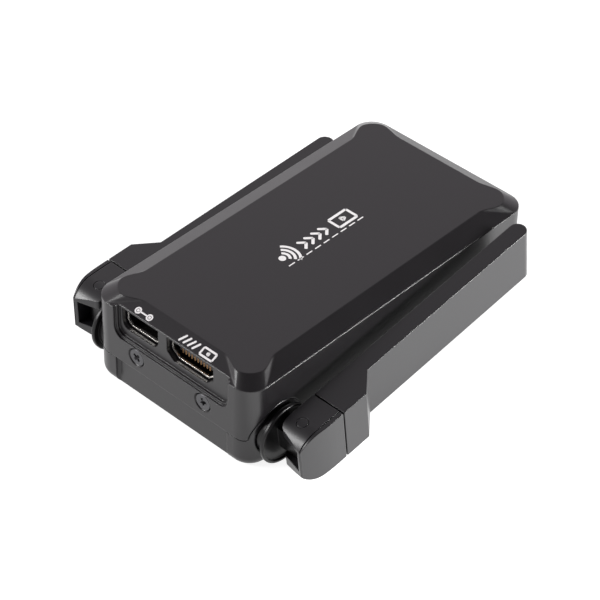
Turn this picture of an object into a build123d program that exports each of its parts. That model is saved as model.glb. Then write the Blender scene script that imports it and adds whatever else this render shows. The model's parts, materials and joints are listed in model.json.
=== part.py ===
from build123d import *
import os
from math import cos, radians, sin, tan

# Pocket-size wireless video unit: a two-shell housing with its ports at the -Y end and a
# flat antenna on each side, carried by a swivelling disc and a fold-out knuckle.
# Millimetres. X is across, +Y runs away from the ports, Z is up, Z = 0 is the underside.

# ---- housing -------------------------------------------------------------------------
WIDTH = 53.0
LENGTH = 100.5
CORNER_R = 5.5
SPLIT_Z = 8.75          # seam between the top cover and the base frame
RIM_Z = 24.5            # top of the upright walls
TOP_Z = 26.75           # flat top
SEAM_GAP = 0.24
LIP_Z = 9.9             # top of the lip that locates the cover
WALL = 1.8
FRONT_WALL = 3.4
ROOF_Z = 24.1           # underside of the roof
FLOOR_Z = 2.2           # top of the floor
BOTTOM_ROUND = 2.9      # round along the bottom edge
SIDE_SLOPE = 5.1        # run of the slope from wall to flat top, long sides
FRONT_SLOPE = 5.2       # the same at the port end
BACK_SLOPE = 4.2        # and at the far end
EAR_START = 13.8        # distance from a corner at which the flat top starts to widen
EAR_SIDE = 3.0          # the ear's distance from the wall
EAR_END = 7.3           # the ear's distance from the corner, along the wall

# ---- port bay ------------------------------------------------------------------------
BAY_HALF_WIDTH = 18.4
BAY_DEPTH = 1.3
BAY_Z = 16.5
BAY_CORNER = 2.4
LEDGE = 0.7             # step that frames the bay
SHELL_SETBACK = 1.3     # metal shells sit this far behind the bay wall
SHELL_SHEET = 0.4
SHELL_DEPTH = 10.5
VIDEO_X = 5.4
VIDEO_OPENING = (13.6, 4.55)
VIDEO_CHAMFER = (1.9, 1.6)
VIDEO_Z = 19.3          # bottom of the opening
CONTROL_X = -11.3
CONTROL_OPENING = (10.4, 3.9)
CONTROL_ROUND = 1.45
CONTROL_Z = 19.6
PORT_MARGIN = 0.9       # hole in the wall beyond the opening, sides and bottom
PORT_TOP = 24.6         # top of both holes in the wall

# ---- screws --------------------------------------------------------------------------
SCREW_XS = (10.8, -11.5)
SCREW_Z = 13.1
SCREW_HEAD_R = 2.3
SCREW_SHANK_R = 1.2
SCREW_HOLE_R = 1.3
POST_WIDTH = 6.0
POST_DEPTH = 4.0

# ---- antenna swivel ------------------------------------------------------------------
SWIVEL_Y = -40.8
SWIVEL_Z = 8.75
ARCH_R = 7.95           # base frame's arch round the disc
ARCH_FOOT_R = 0.9       # round where the arch meets the seam
DISC_WELL_R = 6.9
DISC_WELL_DEPTH = 1.2
DISC_R = 8.05
DISC_HUB_R = 6.6
DISC_PLATE = 1.15
DISC_FACE_X = 29.1
DISC_BACK_GAP = 0.3
DISH_R = 7.35
DISH_DEPTH = 0.6
BOSS_THICKNESS = 3.4
SHAFT_R = 2.9
SHAFT_BORE_R = 1.5
SHAFT_FIT = 0.05        # radial clearance of every running fit
REST_TILT = {"right": 7.5, "left": 1.5}

# ---- antenna, in its own frame: origin on the swivel axis, x outwards ----------------
ANT_IN = 30.55          # inner face
ANT_THICK = 40.0        # outer face of knuckle and root
ANT_THIN = 35.2         # outer face of the blade
ANT_HALF = 7.6          # half height
PIN_X = 34.5
PIN_Y = 0.5
PIN_R = 1.3
PIN_HALF = 6.4          # half length, each end under a plug
PIN_CAP_R = 1.5
LUG_R = 2.6             # end of the disc's tongue, round the pin
LUG_GAP = 0.25
SPLIT_Y = 8.66          # joint between knuckle and blade
SPLIT_GAP = 0.45
STEP_START_Y = 16.5     # where the thick root starts to step in
STEP_END_Y = 22.2
BLADE_END_Y = 82.8
BLADE_END_R = 2.3
CROWN_Y = 1.2           # centre of the round front seen from the side
NOSE_Y = -5.0
SLOT_LOW = -3.1
SLOT_HIGH = 3.8
SLOT_OUT = 37.3
SKIN = 1.1              # outer cap plate of the knuckle
SKIN_GAP = 0.2
BLADE_WALL = 1.1
LID_THICKNESS = 1.1     # panel let into the blade's inner face
LID_INSET = 1.4

# ---- boards and small parts ----------------------------------------------------------
MAIN_BOARD = (44.6, 92.0, 1.6)
MAIN_BOARD_Z = 17.0
RADIO_BOARD = (44.6, 86.0, 1.2)
RADIO_BOARD_Z = 7.2
SPACER_XY = (19.6, 36.5)
SPACER_FRONT_Y = -27.0
SPACER_R = 2.2
PLATE = (34.0, 62.0)
PLATE_THICKNESS = 1.2
BUSH_FLANGE_R = 6.0
BUSH_BODY_R = 4.9
THREAD_R = 3.175
BUSH_HEIGHT = 5.6
PLATE_SCREW_XY = (13.5, 27.5)
BUTTON_R = 2.4
BUTTON_XZ = (9.0, 13.1)
BUTTON_TRAVEL = 0.6
LIGHT_X = (-5.0, -9.0)
LIGHT_R = 1.0


def upright(width, length, radius, low, high):
    """Rounded rectangular block from height low to height high."""
    return Pos(0, 0, low) * extrude(RectangleRounded(width, length, radius), high - low)


def block(x0, x1, y0, y1, z0, z1):
    """Plain block between two corners."""
    centre = Pos((x0 + x1) / 2, (y0 + y1) / 2, (z0 + z1) / 2)
    return centre * Box(x1 - x0, y1 - y0, z1 - z0)


def rod_x(radius, x0, x1, y=0.0, z=0.0):
    """Cylinder along X."""
    return Pos((x0 + x1) / 2, y, z) * Rot(0, 90, 0) * Cylinder(radius, abs(x1 - x0))


def rod_y(radius, y0, y1, x=0.0, z=0.0):
    """Cylinder along Y."""
    return Pos(x, (y0 + y1) / 2, z) * Rot(90, 0, 0) * Cylinder(radius, abs(y1 - y0))


def rod_z(radius, z0, z1, x=0.0, y=0.0):
    """Cylinder along Z."""
    return Pos(x, y, (z0 + z1) / 2) * Cylinder(radius, abs(z1 - z0))


def save(shape, node):
    export_step(shape, f"parts/{node}.step")


def group(solids):
    return Compound(children=list(solids))


# ---- screws --------------------------------------------------------------------------
def countersunk_screw(head_r, shank_r, length):
    """Flat-head screw along -Z, its head's face at z = 0, with a cross recess."""
    head_depth = (head_r - shank_r) * 0.95
    profile = Polyline(
        (0, 0), (head_r - 0.12, 0), (head_r, -0.15), (shank_r, -head_depth),
        (shank_r, -length + 0.4), (shank_r - 0.4, -length), (0, -length), (0, 0),
    )
    screw = revolve(Plane.XZ * make_face(profile), Axis.Z)
    wing = head_r * 0.52
    for turn in (0, 90):
        blade = loft([
            Plane.XY * Rectangle(2 * wing, 0.36 * head_r),
            Plane.XY.offset(-head_depth) * Rectangle(wing * 0.7, 0.2 * head_r),
        ])
        screw -= Rot(0, 0, turn) * blade
    return screw


def screw_seat(head_r, hole_r, length):
    """Cutter for a countersunk screw's hole: cone, short counterbore and clearance hole."""
    ring_r = head_r + 0.35
    cone_end = -(ring_r - hole_r) * 0.95
    profile = Polyline(
        (0, 1), (ring_r, 1), (ring_r, -0.22), (hole_r, cone_end - 0.22), (hole_r, -length),
        (0, -length), (0, 1),
    )
    return revolve(Plane.XZ * make_face(profile), Axis.Z)


def at_front(shape, x, z, face_y):
    """Turns a part drawn along -Z so that it runs along +Y from the front face."""
    return Pos(x, face_y, z) * Rot(90, 0, 0) * shape


# ---- housing outline -----------------------------------------------------------------
def ear_points(x_sign, y_sign):
    """Flat-top outline at one corner, from the long side round to the end."""
    half_w = WIDTH / 2
    half_l = LENGTH / 2

    def place(from_side, from_end):
        return (x_sign * (half_w - from_side), y_sign * (half_l - from_end), TOP_Z)

    slope = FRONT_SLOPE if y_sign < 0 else BACK_SLOPE
    bend = EAR_START - 2.2
    neck = EAR_END + 2.3
    side = [place(SIDE_SLOPE, EAR_START), place(SIDE_SLOPE, bend),
            place(EAR_SIDE + 0.05, neck), place(EAR_SIDE, EAR_END)]
    nose = [place(EAR_SIDE, EAR_END), place(EAR_SIDE - 0.05, EAR_END - 1.9),
            place(EAR_END - 1.9, EAR_SIDE - 0.05), place(EAR_END, EAR_SIDE)]
    end = [place(EAR_END, EAR_SIDE), place(neck, EAR_SIDE + 0.05),
           place(bend, slope), place(EAR_START, slope)]
    return side, nose, end


def rim_arc(x_sign, y_sign, start, stop):
    """Part of a corner's rim arc, in degrees from the long side towards the end."""
    cx = x_sign * (WIDTH / 2 - CORNER_R)
    cy = y_sign * (LENGTH / 2 - CORNER_R)

    def at(angle):
        return (cx + x_sign * CORNER_R * cos(radians(angle)),
                cy + y_sign * CORNER_R * sin(radians(angle)), RIM_Z)

    return ThreePointArc(at(start), at((start + stop) / 2), at(stop))


def crown():
    """Solid between the rim and the flat top: four slopes and four corner facets."""
    pairs = []
    corners = [(1, -1), (1, 1), (-1, 1), (-1, -1)]
    strips = []
    for x_sign, y_sign in corners:
        side, nose, end = ear_points(x_sign, y_sign)
        runs = [
            (rim_arc(x_sign, y_sign, 0, 8), Bezier(*side)),
            (rim_arc(x_sign, y_sign, 8, 82), Bezier(*nose)),
            (rim_arc(x_sign, y_sign, 82, 90), Bezier(*end)),
        ]
        strips.append(runs)
        pairs.extend(runs)
    # straight slopes between neighbouring corners: long sides join run 0 to run 0,
    # ends join run 2 to run 2
    for a, b, run in ((0, 1, 0), (2, 3, 0), (1, 2, 2), (3, 0, 2)):
        rim_a, top_a = strips[a][run]
        rim_b, top_b = strips[b][run]
        end_of = 0 if run == 0 else 1
        pairs.append((Line(rim_a @ end_of, rim_b @ end_of), Line(top_a @ end_of, top_b @ end_of)))
    walls = [Face.make_surface_from_curves(low.edge(), high.edge()) for low, high in pairs]
    low_wire = Wire([low.edge() for low, high in pairs])
    high_wire = Wire([high.edge() for low, high in pairs])
    shell = Shell([*walls, Face(low_wire), Face(high_wire)])
    return Solid(shell)


def housing_block(low):
    """Outside of the whole housing from height low to the flat top."""
    return upright(WIDTH, LENGTH, CORNER_R, low, RIM_Z) + crown()


def arch_zone(radius, level, depth):
    """Both side arches with all that lies below level, reaching depth in from the wall."""
    profile = Circle(radius) + Pos(0, level - 20) * Rectangle(120, 40)
    feet = profile.vertices().filter_by(lambda v: abs(v.Y - level) < 0.01 and abs(v.X) < radius + 1)
    profile = fillet(feet, ARCH_FOOT_R)
    side = Pos(0, SWIVEL_Y, SWIVEL_Z) * extrude(Plane.YZ * profile, WIDTH / 2 + 1, both=True)
    return side - block(-WIDTH / 2 + depth, WIDTH / 2 - depth, -LENGTH, LENGTH, -40, 40)


def bay_cutter():
    """Port bay: the recess itself and the shallow step that frames it."""
    front = -LENGTH / 2
    inner = Pos(0, 0, BAY_Z) * Pos(0, 0, 10) * Rot(90, 0, 0)
    face = RectangleRounded(2 * BAY_HALF_WIDTH, 20, BAY_CORNER)
    bay = Pos(0, front + BAY_DEPTH, 0) * (inner * extrude(face, 5))
    step_face = RectangleRounded(2 * (BAY_HALF_WIDTH + LEDGE), 20 + 2 * LEDGE, BAY_CORNER + LEDGE)
    step = Pos(0, front + BAY_DEPTH * 0.45, 0) * (inner * extrude(step_face, 5))
    return bay + step


def port_profile(width, height, kind):
    """Opening outline in the XZ sense, its bottom edge at y = 0."""
    half = width / 2
    if kind == "video":
        cut_x, cut_z = VIDEO_CHAMFER
        return Polyline((-half, height), (-half, cut_z), (-half + cut_x, 0), (half - cut_x, 0),
                        (half, cut_z), (half, height), (-half, height))
    r = CONTROL_ROUND
    k = r * (1 - cos(radians(45)))
    return Line((-half, height), (-half, r)) + ThreePointArc((-half, r), (-half + k, k), (-half + r, 0)) \
        + Line((-half + r, 0), (half - r, 0)) + ThreePointArc((half - r, 0), (half - k, k), (half, r)) \
        + Line((half, r), (half, height)) + Line((half, height), (-half, height))


def port_prism(kind, grow, y0, y1):
    """Port outline grown on every side and run along Y from y0 to y1."""
    x, z, opening = port_place(kind)
    face = make_face(port_profile(*opening, kind))
    if grow:
        face = offset(face, grow, kind=Kind.ARC)
    return Pos(x, y1, z) * Rot(90, 0, 0) * extrude(face, y1 - y0)


def port_place(kind):
    """Centre X, bottom Z and size of a socket's opening."""
    if kind == "video":
        return VIDEO_X, VIDEO_Z, VIDEO_OPENING
    return CONTROL_X, CONTROL_Z, CONTROL_OPENING


def top_cover():
    front = -LENGTH / 2
    back = LENGTH / 2
    cover = housing_block(SPLIT_Z + SEAM_GAP / 2)
    cover -= bay_cutter()
    hollow_front = front + FRONT_WALL
    hollow_back = back - WALL
    hollow = Pos(0, (hollow_front + hollow_back) / 2, 0) * upright(
        WIDTH - 2 * WALL, hollow_back - hollow_front, 3.0, 0, ROOF_Z)
    cover -= hollow
    cover -= arch_zone(ARCH_R + SEAM_GAP, SEAM_GAP / 2, BOSS_THICKNESS + 0.6)
    for kind in ("video", "control"):
        x, z, opening = port_place(kind)
        half = opening[0] / 2 + PORT_MARGIN
        hole = port_prism(kind, PORT_MARGIN, front - 1, hollow_front + 1)
        hole += block(x - half, x + half, front - 1, hollow_front + 1, z + 2.5, PORT_TOP + 1)
        cover -= hole & block(-WIDTH, WIDTH, front - 1, hollow_front + 1, 0, PORT_TOP)
        cover -= block(x - half, x + half, hollow_front - 0.5, front + 16, ROOF_Z - 1, PORT_TOP)
    for x in SCREW_XS:
        cover -= at_front(screw_seat(SCREW_HEAD_R, SCREW_HOLE_R, 6), x, SCREW_Z, front)
    cover -= rod_y(BUTTON_R + 0.15, back - 5, back + 1, *BUTTON_XZ)
    for x in LIGHT_X:
        cover -= rod_y(LIGHT_R + 0.03, back - 5, back + 1, x, BUTTON_XZ[1])
    return cover


def base_frame():
    front = -LENGTH / 2
    outer = upright(WIDTH, LENGTH, CORNER_R, 0, SPLIT_Z - SEAM_GAP / 2)
    outer = fillet(outer.faces().sort_by(Axis.Z)[0].edges(), BOTTOM_ROUND)
    hollow_front = front + FRONT_WALL
    hollow_back = LENGTH / 2 - WALL
    hollow = Pos(0, (hollow_front + hollow_back) / 2, 0) * upright(
        WIDTH - 2 * WALL, hollow_back - hollow_front, 3.0, FLOOR_Z, SPLIT_Z + 20)
    frame = outer - hollow
    # arches round the discs, carried down to the floor and trimmed to the housing's outline
    arches = arch_zone(ARCH_R, -SEAM_GAP / 2, BOSS_THICKNESS)
    reach = block(-WIDTH, WIDTH, SWIVEL_Y - ARCH_R - 1, SWIVEL_Y + ARCH_R + 1,
                  SPLIT_Z - 0.6, SPLIT_Z + 20)
    arches &= upright(WIDTH, LENGTH, CORNER_R, SPLIT_Z - 1, SPLIT_Z + 20) & reach
    lower = None
    for sign in (1, -1):
        x_in = sign * (WIDTH / 2 - BOSS_THICKNESS)
        pad = block(min(x_in, sign * (WIDTH / 2 - 1)), max(x_in, sign * (WIDTH / 2 - 1)),
                    SWIVEL_Y - 6.5, SWIVEL_Y + ARCH_R, 1.0, SPLIT_Z)
        lower = pad if lower is None else lower + pad
    frame += arches
    frame += lower & upright(WIDTH - 2.4, LENGTH - 2.4, CORNER_R - 1.2, 1.0, SPLIT_Z + 1)
    # inner lip that locates the cover
    lip = Pos(0, (hollow_front + hollow_back) / 2, 0) * (
        upright(WIDTH - 2 * WALL - 0.1, hollow_back - hollow_front - 0.1, 2.95, 4, LIP_Z)
        - upright(WIDTH - 2 * WALL - 2.0, hollow_back - hollow_front - 2.0, 2.0, 3, LIP_Z + 1))
    for sign in (1, -1):
        lip -= rod_x(ARCH_R + 0.6, sign * (WIDTH / 2 - BOSS_THICKNESS - 2), sign * WIDTH,
                     SWIVEL_Y, SWIVEL_Z)
    frame += lip
    # shallow recess across the front between the corner pillars
    recess_half = 18.8
    recess = block(-recess_half, recess_half, front - 1, front + 1.0, -1, SPLIT_Z + 1)
    recess = fillet(recess.edges().filter_by(Axis.Z).sort_by(Axis.Y)[-2:], 0.8)
    frame -= recess
    for sign in (1, -1):
        face_x = sign * (WIDTH / 2 - DISC_WELL_DEPTH)
        frame -= rod_x(DISC_WELL_R, face_x, sign * (WIDTH / 2 + 1), SWIVEL_Y, SWIVEL_Z)
        frame -= rod_x(SHAFT_R + SHAFT_FIT, sign * 15, sign * (WIDTH / 2 + 1), SWIVEL_Y, SWIVEL_Z)
    # posts that take the two front screws
    for x in SCREW_XS:
        frame += block(x - POST_WIDTH / 2, x + POST_WIDTH / 2, hollow_front + 0.05,
                       hollow_front + POST_DEPTH, FLOOR_Z - 0.5, 16.3)
        frame -= rod_y(SCREW_SHANK_R + 0.02, hollow_front - 1, hollow_front + 12, x, SCREW_Z)
    # pockets underneath for the mounting plate, its bush and its screws
    frame -= upright(PLATE[0] + 0.3, PLATE[1] + 0.3, 3.15, -1, PLATE_THICKNESS)
    frame -= rod_z(BUSH_BODY_R + 0.01, -1, 6)
    for sx in (1, -1):
        for sy in (1, -1):
            x = sx * PLATE_SCREW_XY[0]
            y = sy * PLATE_SCREW_XY[1]
            frame += rod_z(2.6, FLOOR_Z - 0.5, 5.6, x, y)
            frame -= rod_z(1.0, -1, 5.0, x, y)
    # pillars that carry the boards
    for x, y in board_points():
        frame += rod_z(SPACER_R + 0.3, FLOOR_Z - 0.5, RADIO_BOARD_Z, x, y)
        frame -= rod_z(0.82, 2.6, RADIO_BOARD_Z + 1, x, y)
    return frame


def board_points():
    """Places of the four screws that hold both boards."""
    return [(sx * SPACER_XY[0], y) for sx in (1, -1) for y in (SPACER_FRONT_Y, SPACER_XY[1])]


def front_screws():
    front = -LENGTH / 2 + 0.12
    screw = countersunk_screw(SCREW_HEAD_R, SCREW_SHANK_R, 7.0)
    return group(at_front(Rot(0, 0, turn) * screw, x, SCREW_Z, front)
                 for x, turn in zip(SCREW_XS, (20, 52)))


# ---- underside -----------------------------------------------------------------------
def mount_plate():
    plate = upright(PLATE[0], PLATE[1], 3.0, 0, PLATE_THICKNESS - 0.02)
    plate = chamfer(plate.faces().sort_by(Axis.Z)[0].edges(), 0.25)
    plate -= rod_z(BUSH_FLANGE_R + 0.02, -1, 3)
    for sx in (1, -1):
        for sy in (1, -1):
            seat = Pos(sx * PLATE_SCREW_XY[0], sy * PLATE_SCREW_XY[1], 0) * Rot(180, 0, 0)
            plate -= seat * screw_seat(1.75, 1.05, 3)
    return plate


def plate_screws():
    screw = Rot(180, 0, 0) * countersunk_screw(1.75, 0.98, 4.6)
    return group(Pos(sx * PLATE_SCREW_XY[0], sy * PLATE_SCREW_XY[1], 0.18) * screw
                 for sx in (1, -1) for sy in (1, -1))


def mount_bush():
    bush = rod_z(BUSH_FLANGE_R, 0.1, PLATE_THICKNESS - 0.02)
    bush += rod_z(BUSH_BODY_R, 0.1, BUSH_HEIGHT)
    bush -= rod_z(THREAD_R, -1, BUSH_HEIGHT - 0.6)
    return chamfer(bush.edges().filter_by(GeomType.CIRCLE).sort_by(Axis.Z)[0:2], 0.2)


# ---- boards --------------------------------------------------------------------------
def main_board():
    width, length, thickness = MAIN_BOARD
    y_mid = -46.2 + length / 2
    board = Pos(0, y_mid, 0) * upright(width, length, 1.5, MAIN_BOARD_Z, MAIN_BOARD_Z + thickness)
    for x, y in board_points():
        board -= rod_z(1.1, 0, 30, x, y)
    return board


def radio_board():
    width, length, thickness = RADIO_BOARD
    board = upright(width, length, 1.5, RADIO_BOARD_Z, RADIO_BOARD_Z + thickness)
    board = Pos(0, (length - 86.0) / 2 + 1.5, 0) * board
    for sign in (1, -1):
        board -= block(sign * 18.5 - 6, sign * 18.5 + 6, -60, -30.2, 0, 20)
    for x, y in board_points():
        board -= rod_z(1.1, 0, 30, x, y)
    return board


def board_spacers():
    low = RADIO_BOARD_Z + RADIO_BOARD[2]
    return group(rod_z(SPACER_R, low, MAIN_BOARD_Z, x, y) - rod_z(1.1, 0, 30, x, y)
                 for x, y in board_points())


def board_screws():
    top = MAIN_BOARD_Z + MAIN_BOARD[2]
    solids = []
    for x, y in board_points():
        screw = rod_z(1.8, top, top + 1.1, x, y) + rod_z(0.8, 3.4, top + 0.5, x, y)
        screw -= Pos(x, y, top + 1.1) * (Box(2.2, 0.5, 1.2) + Box(0.5, 2.2, 1.2))
        solids.append(screw)
    return group(solids)


def can(x0, x1, y0, y1, low, height):
    """Folded sheet shield: a thin-walled box with its open side down."""
    shape = block(x0, x1, y0, y1, low, low + height)
    shape = fillet(shape.edges().filter_by(Axis.Z), 0.8)
    return shape - block(x0 + 0.3, x1 - 0.3, y0 + 0.3, y1 - 0.3, low - 1, low + height - 0.3)


def radio_shields():
    low = RADIO_BOARD_Z + RADIO_BOARD[2]
    return group([can(-15, 15, -24, 2, low, 3.0), can(-13, 13, 6, 30, low, 3.0)])


def radio_chips():
    low = RADIO_BOARD_Z + RADIO_BOARD[2]
    return group([block(-6, 6, -17, -5, low, low + 1.4), block(-5, 5, 12, 22, low, low + 1.4),
                  block(-12, -8, -20, -14, low, low + 1.0)])


def processor_chips():
    low = MAIN_BOARD_Z + MAIN_BOARD[2]
    return group([block(-8.5, 8.5, -14, 3, low, low + 1.6), block(-8, 1, 10, 22, low, low + 1.2),
                  block(4, 13, 10, 22, low, low + 1.2)])


def thermal_pad():
    low = MAIN_BOARD_Z + MAIN_BOARD[2] + 1.6
    return block(-8, 8, -13.5, 2.5, low, low + 0.6)


def heat_spreader():
    low = MAIN_BOARD_Z + MAIN_BOARD[2] + 2.2
    plate = block(-17, 17, -28, 34, low, low + 1.0)
    return fillet(plate.edges().filter_by(Axis.Z), 2.0)


def port_shell(kind):
    """Drawn metal shell of a socket, open at the front, with solder legs under it."""
    y0 = -LENGTH / 2 + BAY_DEPTH + SHELL_SETBACK
    y1 = y0 + SHELL_DEPTH
    shell = port_prism(kind, SHELL_SHEET, y0, y1) - port_prism(kind, 0, y0 - 1, y1 - 0.6)
    x, z, opening = port_place(kind)
    for sign in (1, -1):
        leg_x = x + sign * (opening[0] / 2 - 2.6)
        shell += block(leg_x - 0.6, leg_x + 0.6, y0 + 5, y0 + 8,
                       MAIN_BOARD_Z + MAIN_BOARD[2], z - 0.2)
    return shell


def port_core(kind):
    """Plastic tongue and its block inside a socket."""
    y0 = -LENGTH / 2 + BAY_DEPTH + SHELL_SETBACK
    back = y0 + SHELL_DEPTH - 0.6
    x, z, opening = port_place(kind)
    width, height, from_top = (11.0, 1.7, 1.35) if kind == "video" else (8.2, 0.7, 0.45)
    top = z + opening[1] - from_top
    core = block(x - width / 2, x + width / 2, y0 + 1.0, back, top - height, top)
    core += port_prism(kind, -0.05, back - 2.0, back)
    return core


def link_button():
    """Round push button in the far end, its stem reaching the switch."""
    x, z = BUTTON_XZ
    back = LENGTH / 2
    cap = rod_y(BUTTON_R, back - 1.9, back - 0.15, x, z)
    cap = fillet(cap.edges().filter_by(GeomType.CIRCLE).sort_by(Axis.Y)[-1], 0.35)
    cap += rod_y(BUTTON_R + 0.7, back - 2.7, back - 1.9, x, z)
    return cap + rod_y(1.1, back - 4.6, back - 2.7, x, z)


def switch_block():
    """Small side-push switch on a stand that hangs under the main board."""
    x, z = BUTTON_XZ
    back = LENGTH / 2
    body = block(x - 3, x + 3, back - 8.4, back - 4.6 - BUTTON_TRAVEL - 0.2, z - 2.6, MAIN_BOARD_Z)
    return body


def status_lights():
    """Clear light pipes through the far end wall."""
    back = LENGTH / 2
    z = BUTTON_XZ[1]
    pipes = []
    for x in LIGHT_X:
        pipe = rod_y(LIGHT_R, back - 4.0, back - 0.05, x, z)
        pipe += rod_y(LIGHT_R + 0.6, back - 4.0, back - WALL - 0.05, x, z)
        pipe += block(x - 0.8, x + 0.8, back - 5.6, back - 3.0, z - 0.8, MAIN_BOARD_Z)
        pipes.append(pipe)
    return group(pipes)


# ---- antenna leads inside the housing ------------------------------------------------
LEAD_R = 0.55
LEAD_SOCKET = (13.5, -27.5)
PLUG_HEIGHT = 1.1


def lead_route(sign):
    """Coaxial lead from the swivel's bore back to its socket on the radio board."""
    z_axis = SWIVEL_Z
    start_x = WIDTH / 2 - BOSS_THICKNESS - 3.4
    sx, sy = LEAD_SOCKET
    top = RADIO_BOARD_Z + RADIO_BOARD[2] + 3.0
    return [
        (sign * start_x, SWIVEL_Y, z_axis),
        (sign * (start_x - 3.6), SWIVEL_Y, z_axis),
        (sign * (start_x - 6.6), SWIVEL_Y + 2.4, z_axis + 1.2),
        (sign * (start_x - 7.4), SWIVEL_Y + 6.2, top + 0.6),
        (sign * (sx + 0.2), SWIVEL_Y + 9.6, top + 0.9),
        (sign * sx, sy, top - 0.4),
        (sign * sx, sy, RADIO_BOARD_Z + RADIO_BOARD[2] + PLUG_HEIGHT),
    ]


def antenna_lead(sign):
    points = [Vector(*p) for p in lead_route(sign)]
    radii = []
    for a, b, c in zip(points, points[1:], points[2:]):
        turn = (b - a).get_angle(c - b)
        shorter = min((b - a).length, (c - b).length)
        radii.append(0.45 * shorter / tan(radians(turn / 2)))
    path = FilletPolyline(*points, radius=radii)
    start = Plane(origin=path @ 0, z_dir=path % 0)
    return sweep(start * Circle(LEAD_R), path=path)


def lead_plugs():
    """Snap-on coaxial plugs on the radio board."""
    sx, sy = LEAD_SOCKET
    low = RADIO_BOARD_Z + RADIO_BOARD[2]
    return group(rod_z(1.5, low, low + PLUG_HEIGHT, sign * sx, sy) for sign in (1, -1))


# ---- swivel --------------------------------------------------------------------------
def swivel_to_frame(shape, side):
    """Right-hand antenna parts as drawn, tilted and placed; the left side is mirrored."""
    placed = Pos(0, SWIVEL_Y, SWIVEL_Z) * Rot(REST_TILT[side], 0, 0) * shape
    if side == "left":
        placed = mirror(placed, Plane.YZ)
    return placed


def swivel_disc():
    """Thin disc on a hub, with its hollow shaft inwards and the hinge tongue outwards."""
    back = WIDTH / 2 - DISC_WELL_DEPTH + DISC_BACK_GAP
    floor = DISC_FACE_X - DISH_DEPTH
    disc = rod_x(DISC_R, DISC_FACE_X - DISC_PLATE, DISC_FACE_X)
    rim = disc.edges().filter_by(GeomType.CIRCLE).sort_by(Axis.X)
    disc = fillet(rim, 0.35)
    dish = rod_x(DISH_R, floor, DISC_FACE_X + 1)
    disc -= fillet(dish.edges().filter_by(GeomType.CIRCLE).sort_by(Axis.X)[0], 0.4)
    disc += rod_x(DISC_HUB_R, back, DISC_FACE_X - DISC_PLATE + 0.1)
    disc += rod_x(SHAFT_R, WIDTH / 2 - BOSS_THICKNESS - 3.2, back + 0.1)
    low = SLOT_LOW + LUG_GAP
    high = SLOT_HIGH - LUG_GAP
    disc += block(floor - 0.1, PIN_X, PIN_Y - LUG_R, PIN_Y + LUG_R, low, high)
    disc += rod_z(LUG_R, low, high, PIN_X, PIN_Y)
    disc -= rod_z(PIN_R + SHAFT_FIT, low - 2, high + 2, PIN_X, PIN_Y)
    disc -= rod_x(SHAFT_BORE_R, 10, floor - 1.0)
    return disc


def friction_washer():
    x = WIDTH / 2 - BOSS_THICKNESS
    return rod_x(5.2, x - 0.8, x) - rod_x(SHAFT_R + 0.08, x - 2, x + 1)


def retaining_nut():
    x = WIDTH / 2 - BOSS_THICKNESS - 0.85
    nut = Pos(x - 1.0, 0, 0) * Rot(0, 90, 0) * extrude(RegularPolygon(4.6, 6), 1.0, both=True)
    return nut - rod_x(SHAFT_R, x - 5, x + 5)


# ---- knuckle and blade ---------------------------------------------------------------
def knuckle_outline():
    """Plan of the knuckle from the joint forward along the inner face and round the nose."""
    y_back = SPLIT_Y - SPLIT_GAP / 2
    inner = ANT_IN
    outer = ANT_THICK
    return (
        Line((inner, y_back), (inner, -1.4))
        + ThreePointArc((inner, -1.4), (inner + 0.52, -2.72), (inner + 1.85, -3.4))
        + Line((inner + 1.85, -3.4), (outer - 1.8, NOSE_Y))
        + ThreePointArc((outer - 1.8, NOSE_Y), (outer - 1.55, NOSE_Y + 0.02),
                        (outer - 1.42, NOSE_Y + 0.3))
        + Bezier((outer - 1.42, NOSE_Y + 0.3), (outer - 0.4, -1.5), (outer, 2.0), (outer, 5.5))
        + Line((outer, 5.5), (outer, y_back))
        + Line((outer, y_back), (inner, y_back))
    )


def knuckle_blank():
    """Plan of the knuckle cut by its side view, which ends in a half circle at the front."""
    plan = extrude(make_face(knuckle_outline()), ANT_HALF + 1, both=True)
    side = rod_x(ANT_HALF, 0, 60, CROWN_Y)
    side += block(0, 60, CROWN_Y, SPLIT_Y, -ANT_HALF, ANT_HALF)
    return plan & side


def cap_zone(gap=0.0):
    """Region of the outer cap plate; gap moves its inner face inwards."""
    seam = ANT_THICK - SKIN - gap
    foot = NOSE_Y - 0.6
    face = make_face(
        Line((seam, SPLIT_Y + 1), (seam, 5.5))
        + Bezier((seam, 5.5), (seam, 2.2), (seam - 0.15, -1.8), (seam - 0.7, foot))
        + Line((seam - 0.7, foot), (ANT_THICK + 2, foot))
        + Line((ANT_THICK + 2, foot), (ANT_THICK + 2, SPLIT_Y + 1))
        + Line((ANT_THICK + 2, SPLIT_Y + 1), (seam, SPLIT_Y + 1))
    )
    return extrude(face, 20, both=True)


def knuckle():
    body = knuckle_blank() - cap_zone(SKIN_GAP)
    pocket_r = LUG_R + LUG_GAP
    body -= block(ANT_IN - 1, SLOT_OUT, NOSE_Y - 2, PIN_Y, SLOT_LOW, SLOT_HIGH)
    body -= rod_z(pocket_r, SLOT_LOW, SLOT_HIGH, PIN_X, PIN_Y)
    body -= block(ANT_IN - 1, PIN_X, PIN_Y, PIN_Y + pocket_r, SLOT_LOW, SLOT_HIGH)
    body -= rod_z(PIN_R, -20, 20, PIN_X, PIN_Y)
    for sign in (1, -1):
        body -= rod_z(PIN_CAP_R, sign * PIN_HALF, sign * 20, PIN_X, PIN_Y)
    return body - root_studs()


def knuckle_cap():
    """Outer cap plate of the knuckle, held a hair clear of it."""
    return knuckle_blank() & cap_zone()


def hinge_pin():
    return rod_z(PIN_R, -PIN_HALF + 0.05, PIN_HALF - 0.05, PIN_X, PIN_Y)


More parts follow.
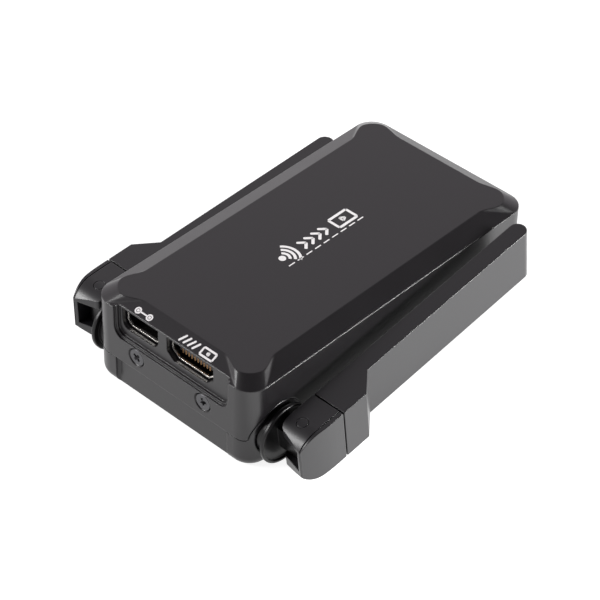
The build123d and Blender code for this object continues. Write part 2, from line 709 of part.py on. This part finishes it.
def pin_plugs():
    """Two plugs over the pin's ends, flush with the knuckle."""
    rods = [rod_z(PIN_CAP_R - 0.12, sign * PIN_HALF, sign * 20, PIN_X, PIN_Y) for sign in (1, -1)]
    return group(rod & knuckle_blank() for rod in rods)


def blade_plan():
    """Plan of root and blade; the free end is fully round."""
    y_front = SPLIT_Y + SPLIT_GAP / 2
    r = BLADE_END_R
    end = BLADE_END_Y
    k = r * (1 - cos(radians(45)))
    return make_face(
        Line((ANT_IN, y_front), (ANT_IN, end - r))
        + ThreePointArc((ANT_IN, end - r), (ANT_IN + k, end - k), (ANT_IN + r, end))
        + Line((ANT_IN + r, end), (ANT_THIN - r, end))
        + ThreePointArc((ANT_THIN - r, end), (ANT_THIN - k, end - k), (ANT_THIN, end - r))
        + Line((ANT_THIN, end - r), (ANT_THIN, STEP_END_Y))
        + Line((ANT_THIN, STEP_END_Y), (ANT_THICK, STEP_START_Y))
        + Line((ANT_THICK, STEP_START_Y), (ANT_THICK, y_front))
        + Line((ANT_THICK, y_front), (ANT_IN, y_front))
    )


def blade_blank():
    return extrude(blade_plan(), ANT_HALF, both=True)


def blade_room(margin, x0, x1):
    """Block inside the blade, margin in from its edges, between two depths."""
    return block(x0, x1, SPLIT_Y + 1.6 + margin, BLADE_END_Y - 1.6 - margin,
                 -ANT_HALF + margin, ANT_HALF - margin)


def blade_shell():
    """Outer shell of root and blade, open towards the housing."""
    shell = blade_blank() - root_studs()
    shell -= blade_room(LID_INSET - 0.15, ANT_IN - 1, ANT_IN + LID_THICKNESS + 0.1)
    shell -= blade_room(LID_INSET + 1.0, ANT_IN, ANT_THIN - BLADE_WALL)
    return shell - block(ANT_IN, ANT_THICK - 1.6, SPLIT_Y + 4.0, STEP_START_Y - 0.6,
                         -ANT_HALF + 2.4, ANT_HALF - 2.4)


def blade_lid():
    lid = blade_room(LID_INSET, ANT_IN, ANT_IN + LID_THICKNESS)
    return fillet(lid.edges().filter_by(Axis.X), 0.6)


def radiator_board():
    x = ANT_IN + LID_THICKNESS + 0.5
    return blade_room(LID_INSET + 1.3, x, x + 0.8)


def root_studs():
    """Two dowels that tie the blade's root to the knuckle."""
    return group(rod_y(0.9, SPLIT_Y - 4.0, SPLIT_Y + 2.3, 35.3, z) for z in (-4.6, 4.6))


def build():
    os.makedirs("parts", exist_ok=True)
    save(top_cover(), "top_cover")
    save(base_frame(), "base_frame")
    save(front_screws(), "front_screws")
    save(mount_plate(), "mount_plate")
    save(plate_screws(), "plate_screws")
    save(mount_bush(), "mount_bush")
    save(main_board(), "main_board")
    save(radio_board(), "radio_board")
    save(board_spacers(), "board_spacers")
    save(board_screws(), "board_screws")
    save(radio_shields(), "radio_shields")
    save(radio_chips(), "radio_chips")
    save(processor_chips(), "processor_chips")
    save(thermal_pad(), "thermal_pad")
    save(heat_spreader(), "heat_spreader")
    for kind in ("video", "control"):
        save(port_shell(kind), f"{kind}_port_shell")
        save(port_core(kind), f"{kind}_port_core")
    save(link_button(), "link_button")
    save(switch_block(), "link_switch")
    save(status_lights(), "status_lights")
    save(lead_plugs(), "lead_plugs")
    for side, sign in (("right", 1), ("left", -1)):
        save(antenna_lead(sign), f"{side}_antenna_lead")
        for node, shape in (
            ("swivel_disc", swivel_disc()),
            ("friction_washer", friction_washer()),
            ("retaining_nut", retaining_nut()),
            ("knuckle", knuckle()),
            ("knuckle_cap", knuckle_cap()),
            ("hinge_pin", hinge_pin()),
            ("pin_plugs", pin_plugs()),
            ("root_studs", root_studs()),
            ("blade_shell", blade_shell()),
            ("blade_lid", blade_lid()),
            ("radiator_board", radiator_board()),
        ):
            save(swivel_to_frame(shape, side), f"{side}_{node}")


build()
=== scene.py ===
import json
import math

import bpy
from mathutils import Matrix, Quaternion, Vector


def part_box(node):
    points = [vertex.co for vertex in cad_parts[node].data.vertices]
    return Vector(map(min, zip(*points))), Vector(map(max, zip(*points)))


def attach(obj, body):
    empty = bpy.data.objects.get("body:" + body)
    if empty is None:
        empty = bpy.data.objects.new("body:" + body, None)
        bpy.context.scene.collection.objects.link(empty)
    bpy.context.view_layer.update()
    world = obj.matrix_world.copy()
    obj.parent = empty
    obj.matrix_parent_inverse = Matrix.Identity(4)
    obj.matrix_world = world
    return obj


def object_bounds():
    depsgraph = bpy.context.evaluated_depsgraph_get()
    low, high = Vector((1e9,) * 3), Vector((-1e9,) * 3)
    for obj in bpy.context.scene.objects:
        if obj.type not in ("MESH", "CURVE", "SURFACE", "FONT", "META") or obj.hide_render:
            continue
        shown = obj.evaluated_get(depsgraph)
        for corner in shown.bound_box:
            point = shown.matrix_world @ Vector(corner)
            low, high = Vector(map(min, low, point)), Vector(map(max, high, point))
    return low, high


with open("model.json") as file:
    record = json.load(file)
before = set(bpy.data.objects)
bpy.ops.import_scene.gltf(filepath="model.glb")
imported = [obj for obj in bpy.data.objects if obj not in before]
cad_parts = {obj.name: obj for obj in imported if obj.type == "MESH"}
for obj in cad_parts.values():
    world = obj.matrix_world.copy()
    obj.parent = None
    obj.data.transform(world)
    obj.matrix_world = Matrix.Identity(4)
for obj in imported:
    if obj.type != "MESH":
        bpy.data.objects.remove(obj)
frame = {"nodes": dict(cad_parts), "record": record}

MM = 0.001
THREAD_RADIUS = 3.175     # quarter-inch camera thread, in millimetres
THREAD_PITCH = 1.27
THREAD_TURNS = 3
CONTACTS = 10
CONTACT_PITCH = 1.0
INK_THICKNESS = 0.03
LAMP_AIM = (0, 0, 0.01)   # metres, inside the housing

cad_low, cad_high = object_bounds()
record = frame["record"]


# ---- shader maths ----------------------------------------------------------------------
class Value:
    """A number that changes over a surface; sums and products add Math nodes."""

    def __init__(self, recipe, socket):
        self.recipe = recipe
        self.socket = socket

    def _math(self, operation, *terms):
        return self.recipe.node("ShaderNodeMath", {"operation": operation},
                                dict(enumerate(terms)))

    def __add__(self, other):
        return self._math("ADD", self, other)

    def __sub__(self, other):
        return self._math("SUBTRACT", self, other)

    def __rsub__(self, other):
        return self._math("SUBTRACT", other, self)

    def __mul__(self, other):
        return self._math("MULTIPLY", self, other)

    def __truediv__(self, other):
        return self._math("DIVIDE", self, other)

    def above(self, edge):
        return self._math("GREATER_THAN", self, edge)

    __radd__ = __add__
    __rmul__ = __mul__


class Recipe:
    """One material: its principled shader, its coordinates and the nodes that feed them."""

    def __init__(self, name, **fixed):
        self.material = bpy.data.materials.new(name)
        self.material.use_nodes = True
        self.tree = self.material.node_tree
        self.shader = self.tree.nodes["Principled BSDF"]
        for socket, value in fixed.items():
            self.shader.inputs[socket.replace("_", " ")].default_value = value
        self.place = self.node("ShaderNodeTexCoord", output="Object")

    def node(self, kind, settings=None, inputs=None, output=0):
        made = self.tree.nodes.new(kind)
        for name, value in (settings or {}).items():
            if name == "stops":
                self._set_stops(made.color_ramp, value)
            else:
                setattr(made, name, value)
        for name, value in (inputs or {}).items():
            if isinstance(value, Value):
                self.tree.links.new(value.socket, made.inputs[name])
            else:
                made.inputs[name].default_value = value
        return Value(self, made.outputs[output])

    def _set_stops(self, ramp, stops):
        while len(ramp.elements) < len(stops):
            ramp.elements.new(0.5)
        for element, (position, shade) in zip(ramp.elements, stops):
            element.position = position
            element.color = (shade, shade, shade, 1.0)

    def feed(self, socket, value):
        self.tree.links.new(value.socket, self.shader.inputs[socket])

    def noise(self, size_mm, detail=2.0, roughness=0.5, at=None):
        """Noise from 0 to 1 whose features are about size_mm across."""
        return self.node("ShaderNodeTexNoise", inputs={
            "Vector": at or self.place, "Scale": 1.0 / (size_mm * MM),
            "Detail": detail, "Roughness": roughness})

    def ramp(self, value, *stops):
        return self.node("ShaderNodeValToRGB", {"stops": stops}, {"Fac": value})

    def mix(self, factor, low, high):
        """Colour between low and high."""
        return self.node("ShaderNodeMix", {"data_type": "RGBA"},
                         {"Factor": factor, 6: low, 7: high}, output=2)

    def bump(self, height, depth_mm, edge_mm=0.0):
        """Surface relief; edge_mm also breaks every sharp edge by that much."""
        inputs = {"Height": height, "Distance": depth_mm * MM}
        if edge_mm:
            inputs["Normal"] = self.node("ShaderNodeBevel", {"samples": 6},
                                         {"Radius": edge_mm * MM})
        self.feed("Normal", self.node("ShaderNodeBump", inputs=inputs))


def shade(colour, gain, lift=0.0):
    return tuple(min(1.0, channel * gain + lift) for channel in colour[:3]) + (1.0,)


def moulded_plastic(name, colour, roughness, grain_mm=0.2, grain_depth=0.004, dust=0.2,
                    edge_mm=0.25, ior=1.5):
    """Satin moulding: fine spark grain, slow gloss drift, a trace of dust, broken edges."""
    skin = Recipe(name, IOR=ior)
    grain = skin.noise(grain_mm, detail=3.0)
    drift = skin.noise(14.0, detail=2.0)
    specks = skin.ramp(skin.noise(0.9, detail=4.0, roughness=0.7), (0.66, 0.0), (0.76, 1.0))
    tone = skin.mix(drift * 0.35, colour, shade(colour, 1.25, 0.001))
    skin.feed("Base Color", skin.mix(specks * dust, tone, shade(colour, 1.0, 0.010)))
    skin.feed("Roughness", drift * 0.08 + grain * 0.08 + (roughness - 0.08))
    skin.bump(grain, grain_depth, edge_mm)
    return skin.material


def metal(name, colour, roughness, brush_axis=None, brush_mm=0.05, depth=0.002, edge_mm=0.08):
    """Metal with fine brushing along one axis, or an even blasted skin without one."""
    sheet = Recipe(name)
    where = sheet.place
    if brush_axis is not None:
        stretch = [1.0, 1.0, 1.0]
        stretch[brush_axis] = 0.03
        where = sheet.node("ShaderNodeMapping", inputs={"Vector": sheet.place, "Scale": stretch})
    lines = sheet.noise(brush_mm, detail=3.0, at=where)
    stain = sheet.noise(3.0, detail=3.0)
    sheet.feed("Base Color", sheet.mix(stain * 0.6, colour, shade(colour, 0.82)))
    sheet.feed("Roughness", lines * 0.16 + stain * 0.08 + (roughness - 0.12))
    sheet.feed("Metallic", stain * 0.02 + 0.98)
    sheet.bump(lines, depth, edge_mm)
    return sheet.material


def printed_ink(name, colour):
    """Pad-printed ink: slightly uneven cover over the grain of the plastic."""
    ink = Recipe(name)
    cover = ink.noise(0.5, detail=4.0, roughness=0.65)
    ink.feed("Base Color", ink.mix(cover * 0.5, colour, shade(colour, 0.86)))
    ink.feed("Roughness", cover * 0.15 + 0.42)
    ink.bump(ink.noise(0.2, detail=3.0), 0.004)
    return ink.material


MATERIALS = {
    "housing_plastic": moulded_plastic("housing_plastic", (0.0068, 0.0061, 0.0070, 1), 0.31,
                                       edge_mm=0.42),
    "antenna_plastic": moulded_plastic("antenna_plastic", (0.0064, 0.0061, 0.0072, 1), 0.31,
                                       edge_mm=0.32),
    "swivel_plastic": moulded_plastic("swivel_plastic", (0.0030, 0.0028, 0.0030, 1), 0.30, ior=1.34),
    "black_screw": metal("black_screw", (0.10, 0.10, 0.105, 1), 0.42),
    "plate_metal": metal("plate_metal", (0.06, 0.06, 0.065, 1), 0.50, brush_mm=0.15),
    "bush_metal": metal("bush_metal", (0.72, 0.52, 0.24, 1), 0.30),
    "bright_steel": metal("bright_steel", (0.62, 0.62, 0.63, 1), 0.32, brush_axis=1),
    "video_core_plastic": moulded_plastic("video_core_plastic", (0.010, 0.007, 0.005, 1), 0.35,
                                          dust=0.0, edge_mm=0.1),
    "circuit_board": moulded_plastic("circuit_board", (0.012, 0.07, 0.035, 1), 0.30, edge_mm=0.0),
    "chip_resin": moulded_plastic("chip_resin", (0.015, 0.015, 0.016, 1), 0.55, edge_mm=0.1),
    "pad_rubber": moulded_plastic("pad_rubber", (0.22, 0.28, 0.36, 1), 0.60, edge_mm=0.0),
    "spreader_metal": metal("spreader_metal", (0.62, 0.62, 0.63, 1), 0.36, brush_axis=1),
    "button_rubber": moulded_plastic("button_rubber", (0.018, 0.018, 0.019, 1), 0.58),
    "light_pipe": moulded_plastic("light_pipe", (0.62, 0.68, 0.64, 1), 0.18, edge_mm=0.1),
    "lead_jacket": moulded_plastic("lead_jacket", (0.02, 0.02, 0.022, 1), 0.38, edge_mm=0.0),
}


def two_tone_core():
    """Socket insert: pale tongue, dark block behind and below it."""
    skin = Recipe("control_core_plastic", Roughness=0.4)
    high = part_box("control_port_core")[1]
    depth = skin.node("ShaderNodeSeparateXYZ", inputs={"Vector": skin.place}, output=1)
    block_depth = 2.1 * MM
    tongue = 1 - depth.above(high[1] - block_depth)
    grain = skin.noise(0.2, detail=3.0)
    pale = skin.mix(grain, (0.16, 0.16, 0.17, 1), (0.20, 0.20, 0.21, 1))
    skin.feed("Base Color", skin.mix(tongue, (0.008, 0.008, 0.009, 1), pale))
    skin.bump(grain, 0.003, 0.1)
    return skin.material


def shell_metal_painted_shade():
    """Drawn plated shell with painted shade: bright at the mouth, painted near black further in."""
    sheet = Recipe("port_metal", Metallic=1.0)
    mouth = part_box("video_port_shell")[0][1]
    depth = sheet.node("ShaderNodeSeparateXYZ", inputs={"Vector": sheet.place}, output=1)
    # painted shade: a mask that rises from 0 to 1 going into the socket from the mouth
    painted_shade_depth = sheet.ramp((depth - mouth) / (1.2 * MM), (0.3, 0.0), (0.6, 1.0))
    lines = sheet.noise(0.08, detail=3.0)
    # painted shade: the base colour turns from bright plated metal to near black deeper in, standing
    # for the shade inside the socket
    sheet.feed("Base Color", sheet.mix(painted_shade_depth, (0.90, 0.87, 0.82, 1), (0.07, 0.065, 0.06, 1)))
    sheet.feed("Roughness", lines * 0.16 + 0.18)
    sheet.bump(lines, 0.002, 0.08)
    return sheet.material


MATERIALS["control_core_plastic"] = two_tone_core()
MATERIALS["port_metal"] = shell_metal_painted_shade()
WHITE_INK = printed_ink("white_ink", (0.86, 0.85, 0.84, 1))
CONTACT_GOLD = metal("contact_gold", (0.26, 0.15, 0.07, 1), 0.34, edge_mm=0.0)


def dress_nodes():
    """Every CAD node takes the material of its slot."""
    for row in record["subparts"]:
        node = frame["nodes"][row["node"]]
        node.data.materials.clear()
        node.data.materials.append(MATERIALS[row["material_slot"]])


# ---- shaping ---------------------------------------------------------------------------
def deselect():
    if bpy.context.object and bpy.context.object.mode != "OBJECT":
        bpy.ops.object.mode_set(mode="OBJECT")
    bpy.ops.object.select_all(action="DESELECT")


def bar(length, width, x, y, tilt=0.0):
    """Flat bar with round ends, its length along X before it is tilted."""
    deselect()
    bpy.ops.mesh.primitive_plane_add(size=MM)
    piece = bpy.context.object
    bpy.ops.object.mode_set(mode="EDIT")
    bpy.ops.transform.resize(value=(length, width, 1))
    bpy.ops.mesh.bevel(offset=0.42 * width * MM, segments=3, affect="VERTICES")
    bpy.ops.transform.rotate(value=-math.radians(tilt), orient_axis="Z", center_override=(0, 0, 0))
    bpy.ops.transform.translate(value=(x * MM, y * MM, 0))
    bpy.ops.object.mode_set(mode="OBJECT")
    return piece


def arc(radius, width, x, y, half_angle=180.0):
    """Flat ring, or the part of it within half_angle of +X."""
    deselect()
    bpy.ops.mesh.primitive_circle_add(vertices=64, radius=(radius - width / 2) * MM)
    piece = bpy.context.object
    bpy.ops.object.mode_set(mode="EDIT")
    bpy.ops.mesh.select_all(action="SELECT")
    bpy.ops.mesh.extrude_edges_move()
    bpy.ops.transform.resize(value=[(radius + width / 2) / (radius - width / 2)] * 3)
    bpy.ops.mesh.select_all(action="DESELECT")
    bpy.ops.object.mode_set(mode="OBJECT")
    for point in piece.data.vertices:
        point.select = abs(math.degrees(math.atan2(point.co.y, point.co.x))) > half_angle + 0.1
    bpy.ops.object.mode_set(mode="EDIT")
    bpy.ops.mesh.delete(type="VERT")
    bpy.ops.mesh.select_all(action="SELECT")
    bpy.ops.transform.translate(value=(x * MM, y * MM, 0))
    bpy.ops.object.mode_set(mode="OBJECT")
    return piece


def printed(name, shapes, turn, pitch, place):
    """Joins flat shapes into one thin print, turned about Z, pitched about X and placed."""
    deselect()
    for shape in shapes:
        shape.select_set(True)
    bpy.context.view_layer.objects.active = shapes[0]
    bpy.ops.object.join()
    piece = bpy.context.object
    piece.name = name
    bpy.ops.object.mode_set(mode="EDIT")
    bpy.ops.mesh.select_all(action="SELECT")
    bpy.ops.mesh.extrude_region_move(TRANSFORM_OT_translate={"value": (0, 0, INK_THICKNESS * MM)})
    bpy.ops.mesh.select_all(action="SELECT")
    bpy.ops.mesh.normals_make_consistent(inside=False)
    bpy.ops.object.mode_set(mode="OBJECT")
    piece.data.transform(Matrix.Translation(Vector(place) * MM)
                         @ Matrix.Rotation(math.radians(pitch), 4, "X")
                         @ Matrix.Rotation(math.radians(turn), 4, "Z"))
    piece.data.materials.clear()
    piece.data.materials.append(WHITE_INK)
    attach(piece, "housing")
    return piece


# ---- printed marks ---------------------------------------------------------------------
def screen_sign(x, y, width, height, line):
    """Outline of a screen with a play mark in it."""
    shapes = [bar(width, line, x, y + sign * height / 2) for sign in (1, -1)]
    shapes += [bar(height, line, x + sign * width / 2, y, 90) for sign in (1, -1)]
    side = height * 0.42
    for tilt, dx, dy in ((90, -side * 0.3, 0), (30, side * 0.1, -side * 0.24),
                         (-30, side * 0.1, side * 0.24)):
        shapes.append(bar(side, line * 0.8, x + dx, y + dy, tilt))
    return shapes


def top_mark():
    """Radio waves, three arrows and a screen, over a broken line, read along the housing."""
    shapes = [arc(0.5, 0.9, -12.2, 0.2)]
    shapes += [arc(radius, 0.75, -12.2, 0.2, 52) for radius in (1.9, 3.2, 4.5)]
    for step in range(4):
        for sign in (1, -1):
            shapes.append(bar(2.5, 0.8, -4.6 + 2.5 * step, 0.2 + sign * 0.8, sign * -42))
    shapes += screen_sign(9.6, 0.2, 6.4, 3.9, 0.75)
    for step in range(9):
        shapes.append(bar(2.1, 0.32, -12.2 + 3.1 * step, -3.0))
    x = (cad_low[0] + cad_high[0]) / 2 / MM
    return printed("top_mark", shapes, 90, 0, (x - 0.9, 1.5, TOP_Z))


def slope_height(y):
    """Height of the front slope at y, in millimetres."""
    return RIM_Z + (y - FRONT_Y) * SLOPE


def port_marks():
    """A screen over the video socket and linked rings over the control socket."""
    y = FRONT_Y + 2.6
    pitch = math.degrees(math.atan(SLOPE))
    video = screen_sign(-3.4, 0, 4.0, 2.1, 0.52)
    video += [bar(2.5, 0.56, 0.5 + 1.45 * step, 0, 62) for step in range(4)]
    printed("video_mark", video, 180, pitch, (6.4, y + 0.4, slope_height(y + 0.4)))
    control = [arc(0.72, 0.4, -1.9, 0), arc(0.72, 0.4, 1.9, 0), bar(2.2, 0.4, 0, 0)]
    control += [arc(0.2, 0.32, -1.9, 0), arc(0.2, 0.32, 1.9, 0)]
    printed("control_mark", control, 180, pitch, (-11.2, y, slope_height(y)))


# ---- metal details ---------------------------------------------------------------------
def contact_row():
    """Ten sprung contact tips that wrap the front edge of the video socket's tongue."""
    low, high = (Vector(corner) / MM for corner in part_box("video_port_core"))
    front = low.y
    tongue_top = high.z - 1.3
    deselect()
    bpy.ops.mesh.primitive_cube_add(size=MM)
    tip = bpy.context.object
    bpy.ops.object.mode_set(mode="EDIT")
    bpy.ops.transform.resize(value=(0.5, 0.9, 1.3))
    bpy.ops.mesh.bevel(offset=0.1 * MM, segments=2)
    bpy.ops.transform.translate(value=(0, (front + 0.37) * MM, (tongue_top - 1.55) * MM))
    bpy.ops.object.mode_set(mode="OBJECT")
    middle = (low.x + high.x) / 2
    tips = []
    for step in range(CONTACTS):
        x = middle + (step - (CONTACTS - 1) / 2) * CONTACT_PITCH
        copy = tip.copy()
        copy.data = tip.data.copy()
        copy.data.transform(Matrix.Translation((x * MM, 0, 0)))
        bpy.context.scene.collection.objects.link(copy)
        tips.append(copy)
    bpy.data.objects.remove(tip)
    deselect()
    for copy in tips:
        copy.select_set(True)
    bpy.context.view_layer.objects.active = tips[0]
    bpy.ops.object.join()
    row = bpy.context.object
    row.name = "video_contacts"
    row.data.materials.append(CONTACT_GOLD)
    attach(row, "housing")


def mount_thread():
    """Helical thread inside the mounting bush: one tooth swept up the bore."""
    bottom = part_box("mount_bush")[0][2] / MM
    deselect()
    bpy.ops.mesh.primitive_circle_add(vertices=3, radius=0.42 * MM, fill_type="NGON",
                                      rotation=(math.pi / 2, 0, 0))
    tooth = bpy.context.object
    tooth.name = "mount_thread"
    bpy.ops.object.transform_apply(rotation=True)
    bpy.ops.object.mode_set(mode="EDIT")
    bpy.ops.transform.rotate(value=math.pi / 2, orient_axis="Y", center_override=(0, 0, 0))
    bpy.ops.transform.translate(value=((THREAD_RADIUS - 0.195) * MM, 0, (bottom + 0.65) * MM))
    bpy.ops.object.mode_set(mode="OBJECT")
    helix = tooth.modifiers.new("helix", "SCREW")
    helix.angle = math.radians(360 * THREAD_TURNS)
    helix.screw_offset = THREAD_PITCH * THREAD_TURNS * MM
    helix.steps = helix.render_steps = 48 * THREAD_TURNS
    bpy.ops.object.modifier_apply(modifier="helix")
    bpy.ops.object.mode_set(mode="EDIT")
    bpy.ops.mesh.select_all(action="SELECT")
    bpy.ops.mesh.normals_make_consistent(inside=False)
    bpy.ops.object.mode_set(mode="OBJECT")
    bpy.ops.object.shade_smooth_by_angle(angle=math.radians(40))
    tooth.data.materials.append(MATERIALS["bush_metal"])
    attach(tooth, "housing")


# ---- stage -----------------------------------------------------------------------------
def place_camera():
    """Three-quarter view from above the right front corner."""
    azimuth, elevation, roll = (math.radians(a) for a in (42.0, 40.74, 1.66))
    back = Vector((math.sin(azimuth) * math.cos(elevation),
                   -math.cos(azimuth) * math.cos(elevation), math.sin(elevation)))
    camera = bpy.data.objects.new("camera", bpy.data.cameras.new("camera"))
    bpy.context.scene.collection.objects.link(camera)
    camera.location = Vector((2.61, -7.97, 13.96)) * MM + back * 581.9 * MM
    camera.rotation_mode = "QUATERNION"
    camera.rotation_quaternion = back.to_track_quat("Z", "Y") @ Quaternion((0, 0, 1), roll)
    camera.data.lens = 141.73
    camera.data.sensor_width = 36.0
    camera.data.clip_start = 0.01
    camera.data.clip_end = 20.0
    bpy.context.scene.camera = camera
    bpy.context.scene.view_settings.view_transform = "Standard"


def soft_box(name, place, size, power):
    """Rectangular lamp that faces the middle of the unit."""
    lamp = bpy.data.lights.new(name, "AREA")
    lamp.shape = "RECTANGLE"
    lamp.size, lamp.size_y = size
    lamp.energy = power
    holder = bpy.data.objects.new(name, lamp)
    bpy.context.scene.collection.objects.link(holder)
    holder.location = place
    holder.rotation_euler = (Vector(place) - Vector(LAMP_AIM)).to_track_quat("Z", "Y").to_euler()


def build_stage():
    deselect()
    bpy.ops.mesh.primitive_plane_add(size=6.0, location=(0, 0, -0.02 * MM))
    floor = bpy.context.object
    floor.name = "floor"
    paper = Recipe("paper", Roughness=0.9, Emission_Strength=1.5)
    fibre = paper.noise(3.0, detail=4.0)
    paper.feed("Base Color", paper.mix(fibre, (0.36, 0.36, 0.36, 1), (0.40, 0.40, 0.40, 1)))
    right = paper.node("ShaderNodeSeparateXYZ", inputs={"Vector": paper.place}, output=0)
    paper.feed("Emission Color", paper.ramp((right - 0.03) * 80.0, (0.0, 0.57), (1.0, 1.0)))
    underneath = paper.node("ShaderNodeNewGeometry", output="Backfacing")
    paper.feed("Alpha", 1 - underneath)
    floor.data.materials.append(paper.material)
    world = bpy.data.worlds.new("studio")
    bpy.context.scene.world = world
    world.use_nodes = True
    tree = world.node_tree
    place = tree.nodes.new("ShaderNodeTexCoord")
    lean = tree.nodes.new("ShaderNodeVectorMath")
    lean.operation = "DOT_PRODUCT"
    lean.inputs[1].default_value = (0.5, 0.0, 0.8)
    ramp = tree.nodes.new("ShaderNodeValToRGB")
    tree.links.new(place.outputs["Generated"], lean.inputs[0])
    tree.links.new(lean.outputs["Value"], ramp.inputs["Fac"])
    tree.links.new(ramp.outputs["Color"], tree.nodes["Background"].inputs["Color"])
    stops = ((0.0, 1.0), (0.28, 0.86), (0.42, 0.62), (0.60, 0.14))
    while len(ramp.color_ramp.elements) < len(stops):
        ramp.color_ramp.elements.new(0.5)
    for element, (position, level) in zip(ramp.color_ramp.elements, stops):
        element.position = position
        element.color = (level, level * 0.94, level * 0.99, 1)
    tree.nodes["Background"].inputs["Strength"].default_value = 1.0
    soft_box("back_right", (0.81, 0.53, 0.24), (0.22, 0.26), 17.0)
    soft_box("front_left", (-0.52, -0.66, 0.45), (0.32, 0.32), 6.0)


cover_low, cover_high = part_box("top_cover")
TOP_Z = cover_high[2] / MM
FRONT_Y = cover_low[1] / MM
RIM_Z = TOP_Z - 2.25
SLOPE = 2.25 / 5.2

dress_nodes()
top_mark()
port_marks()
contact_row()
mount_thread()
place_camera()
build_stage()
